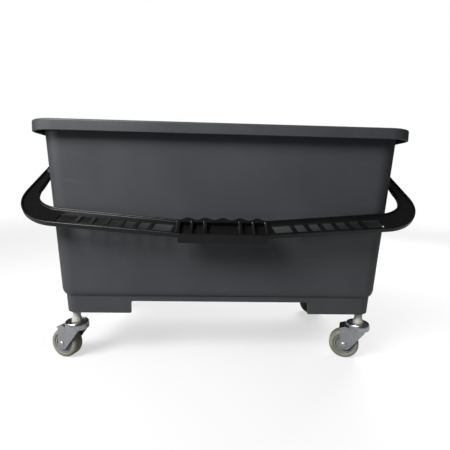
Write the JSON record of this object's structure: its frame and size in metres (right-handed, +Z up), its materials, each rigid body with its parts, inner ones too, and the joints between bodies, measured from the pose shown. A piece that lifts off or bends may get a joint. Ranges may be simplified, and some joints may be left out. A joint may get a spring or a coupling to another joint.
{
  "type": "mop bucket",
  "caption": "Rectangular grey plastic mop bucket with a broad rim collar, a black swinging carry handle and swivel castors on tall stems.",
  "frame": {"origin": "on the floor under the middle of the whole bucket with its handle hanging at the front", "axes": "+X along the tub's length, +Y to the back, away from the hanging handle, +Z up"},
  "size_m": [0.5396, 0.2944, 0.33],
  "materials": {
    "bucket_plastic": "dark grey moulded plastic, fine satin grain",
    "handle_plastic": "black moulded plastic, satin",
    "sleeve_nylon": "pale natural nylon",
    "bright_steel": "bright plain steel",
    "zinc": "zinc plated pressed steel",
    "tread": "olive grey rubber tread",
    "wheel_core": "grey moulded plastic"
  },
  "bodies": {
    "tub": {"tub": "bucket_plastic", "front_left_sleeve": "sleeve_nylon", "front_left_stem": "bright_steel", "front_left_swivel_cap": "zinc", "front_right_sleeve": "sleeve_nylon", "front_right_stem": "bright_steel", "front_right_swivel_cap": "zinc", "rear_left_sleeve": "sleeve_nylon", "rear_left_stem": "bright_steel", "rear_left_swivel_cap": "zinc", "rear_right_sleeve": "sleeve_nylon", "rear_right_stem": "bright_steel", "rear_right_swivel_cap": "zinc"},
    "handle": {"handle": "handle_plastic"},
    "front_left_castor": {"front_left_fork": "zinc", "front_left_ball_race": "bright_steel", "front_left_axle": "bright_steel"},
    "front_left_wheel": {"front_left_tyre": "tread", "front_left_wheel_core": "wheel_core"},
    "front_right_castor": {"front_right_fork": "zinc", "front_right_ball_race": "bright_steel", "front_right_axle": "bright_steel"},
    "front_right_wheel": {"front_right_tyre": "tread", "front_right_wheel_core": "wheel_core"},
    "rear_left_castor": {"rear_left_fork": "zinc", "rear_left_ball_race": "bright_steel", "rear_left_axle": "bright_steel"},
    "rear_left_wheel": {"rear_left_tyre": "tread", "rear_left_wheel_core": "wheel_core"},
    "rear_right_castor": {"rear_right_fork": "zinc", "rear_right_ball_race": "bright_steel", "rear_right_axle": "bright_steel"},
    "rear_right_wheel": {"rear_right_tyre": "tread", "rear_right_wheel_core": "wheel_core"}
  },
  "joints": [
    {"name": "handle_swing", "type": "hinge", "parent": "tub", "child": "handle", "pos_m": [0, 0.01225, 0.2952], "axis": [-1, 0, 0], "range_deg": [0, 247]},
    {"name": "front_left_swivel", "type": "hinge", "parent": "tub", "child": "front_left_castor", "pos_m": [-0.20498, -0.07774, 0.055], "axis": [0, 0, 1], "continuous": true},
    {"name": "front_left_roll", "type": "hinge", "parent": "front_left_castor", "child": "front_left_wheel", "pos_m": [-0.2219, -0.07158, 0.02112], "axis": [-0.342, -0.9397, 0], "continuous": true},
    {"name": "front_right_swivel", "type": "hinge", "parent": "tub", "child": "front_right_castor", "pos_m": [0.20498, -0.07774, 0.055], "axis": [0, 0, 1], "continuous": true},
    {"name": "front_right_roll", "type": "hinge", "parent": "front_right_castor", "child": "front_right_wheel", "pos_m": [0.18829, -0.07099, 0.02112], "axis": [-0.3746, -0.9272, 0], "continuous": true},
    {"name": "rear_left_swivel", "type": "hinge", "parent": "tub", "child": "rear_left_castor", "pos_m": [-0.20498, 0.10223, 0.055], "axis": [0, 0, 1], "continuous": true},
    {"name": "rear_left_roll", "type": "hinge", "parent": "rear_left_castor", "child": "rear_left_wheel", "pos_m": [-0.22057, 0.11123, 0.02112], "axis": [-0.5, -0.866, 0], "continuous": true},
    {"name": "rear_right_swivel", "type": "hinge", "parent": "tub", "child": "rear_right_castor", "pos_m": [0.20498, 0.10223, 0.055], "axis": [0, 0, 1], "continuous": true},
    {"name": "rear_right_roll", "type": "hinge", "parent": "rear_right_castor", "child": "rear_right_wheel", "pos_m": [0.18924, 0.11095, 0.02112], "axis": [-0.4848, -0.8746, 0], "continuous": true}
  ]
}
